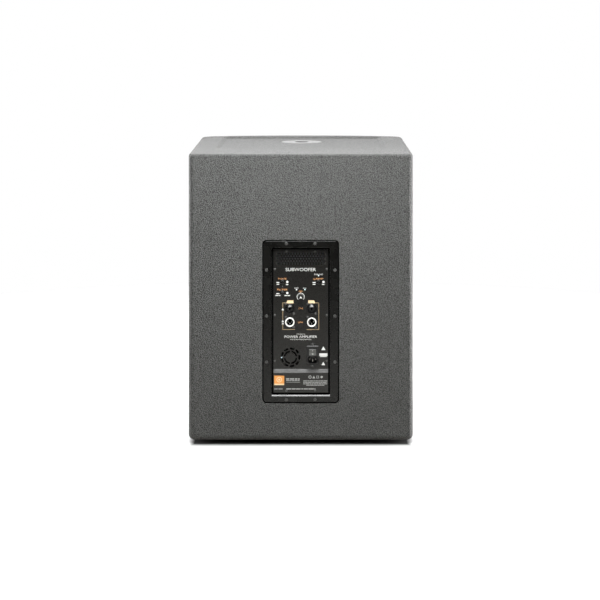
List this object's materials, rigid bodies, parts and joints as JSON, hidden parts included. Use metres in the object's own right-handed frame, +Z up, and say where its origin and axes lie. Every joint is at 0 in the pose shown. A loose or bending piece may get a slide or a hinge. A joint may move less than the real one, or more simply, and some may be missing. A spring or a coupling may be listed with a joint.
{
  "type": "powered subwoofer",
  "caption": "Upright box loudspeaker for low notes, with a bowed grilled front, side pocket handles, a pole socket on top and an amplifier panel in its back.",
  "frame": {"origin": "on the floor, under the centre of the cabinet", "axes": "+Z up, grille faces -Y, amplifier panel faces +Y, +X to the right seen from the front"},
  "size_m": [0.533, 0.61, 0.688],
  "materials": {
    "textured_coating": "black textured polyurea coating over plywood",
    "black_wood": "flat black paint on plywood",
    "grille_paint": "satin black powder coat on perforated steel",
    "foam": "black open-cell foam and wadding",
    "black_steel": "black phosphated steel",
    "zinc_steel": "zinc-plated steel",
    "lamp_lens": "clear diffusing lens",
    "cast_aluminium": "die-cast and extruded aluminium, painted where it faces out",
    "paper_cone": "treated paper pulp",
    "coil_wire": "enamelled aluminium wire on its former",
    "treated_cloth": "doped cloth",
    "ferrite": "sintered ferrite",
    "soft_rubber": "matt black rubber",
    "black_plastic": "black moulded plastic",
    "pole_socket_paint": "semi-gloss black paint on cast aluminium",
    "bezel_plastic": "semi-gloss black moulded frame",
    "panel_paint": "semi-gloss black powder coat with white and orange print",
    "plated_metal": "nickel plate",
    "circuit_board": "glass-epoxy board with green solder mask"
  },
  "bodies": {
    "cabinet": {"top_panel": "textured_coating", "bottom_panel": "textured_coating", "left_side_panel": "textured_coating", "right_side_panel": "textured_coating", "rear_panel": "textured_coating", "front_baffle": "black_wood", "window_brace": "black_wood", "grille_cleats": "black_wood", "front_grille": "grille_paint", "grille_foam": "foam", "damping_wadding": "foam", "grille_screws": "black_steel", "woofer_bolts": "black_steel", "cabinet_screws": "black_steel", "bezel_screws": "black_steel", "panel_screws": "black_steel", "amp_tray": "black_steel", "tee_nuts": "zinc_steel", "magnet_top_plate": "zinc_steel", "pole_yoke": "zinc_steel", "front_led": "lamp_lens", "status_leds": "lamp_lens", "woofer_basket": "cast_aluminium", "heat_sink": "cast_aluminium", "surround": "treated_cloth", "spider": "treated_cloth", "woofer_magnet": "ferrite", "woofer_gasket": "soft_rubber", "amp_gasket": "soft_rubber", "rubber_feet": "soft_rubber", "speaker_cable": "soft_rubber", "port_tubes": "black_plastic", "handle_cups": "black_plastic", "handle_bars": "black_plastic", "fan_frame": "black_plastic", "level_pot": "black_plastic", "button_switches": "black_plastic", "input_jacks": "black_plastic", "output_housings": "black_plastic", "power_inlet": "black_plastic", "capacitors": "black_plastic", "transformer": "black_plastic", "pole_socket": "pole_socket_paint", "amp_bezel": "bezel_plastic", "amp_panel": "panel_paint", "output_shells": "plated_metal", "contact_pins": "plated_metal", "power_board": "circuit_board", "input_board": "circuit_board"},
    "cone_assembly": {"woofer_cone": "paper_cone", "dust_cap": "paper_cone", "voice_coil": "coil_wire"},
    "fan_rotor": {"fan_rotor": "black_plastic"},
    "level_knob": {"level_knob": "black_plastic"},
    "polarity_button": {"polarity_button": "black_plastic"},
    "crossover_button": {"crossover_button": "black_plastic"},
    "front_led_button": {"front_led_button": "black_plastic"},
    "left_jack_latch": {"left_jack_latch": "black_plastic"},
    "right_jack_latch": {"right_jack_latch": "black_plastic"},
    "power_rocker": {"power_rocker": "black_plastic"}
  },
  "joints": [
    {"name": "cone_travel", "type": "slide", "parent": "cabinet", "child": "cone_assembly", "axis": [0, -1, 0], "range_m": [-0.009, 0.009], "stiffness_N_per_m": 6000, "deforming": ["surround", "spider"]},
    {"name": "fan_spin", "type": "hinge", "parent": "cabinet", "child": "fan_rotor", "pos_m": [0.0242, 0.282, 0.2031], "axis": [0, 1, 0], "continuous": true},
    {"name": "level_turn", "type": "hinge", "parent": "cabinet", "child": "level_knob", "pos_m": [0, 0.297, 0.3481], "axis": [0, 1, 0], "range_deg": [-150, 150]},
    {"name": "polarity_press", "type": "slide", "parent": "cabinet", "child": "polarity_button", "axis": [0, -1, 0], "range_m": [0, 0.003], "stiffness_N_per_m": 300},
    {"name": "crossover_press", "type": "slide", "parent": "cabinet", "child": "crossover_button", "axis": [0, -1, 0], "range_m": [0, 0.003], "stiffness_N_per_m": 300},
    {"name": "front_led_press", "type": "slide", "parent": "cabinet", "child": "front_led_button", "axis": [0, -1, 0], "range_m": [0, 0.003], "stiffness_N_per_m": 300},
    {"name": "left_latch_press", "type": "slide", "parent": "cabinet", "child": "left_jack_latch", "axis": [0, -1, 0], "range_m": [0, 0.0015], "stiffness_N_per_m": 800},
    {"name": "right_latch_press", "type": "slide", "parent": "cabinet", "child": "right_jack_latch", "axis": [0, -1, 0], "range_m": [0, 0.0015], "stiffness_N_per_m": 800},
    {"name": "power_switch", "type": "hinge", "parent": "cabinet", "child": "power_rocker", "pos_m": [-0.0283, 0.2905, 0.2159], "axis": [1, 0, 0], "range_deg": [0, 18]}
  ]
}
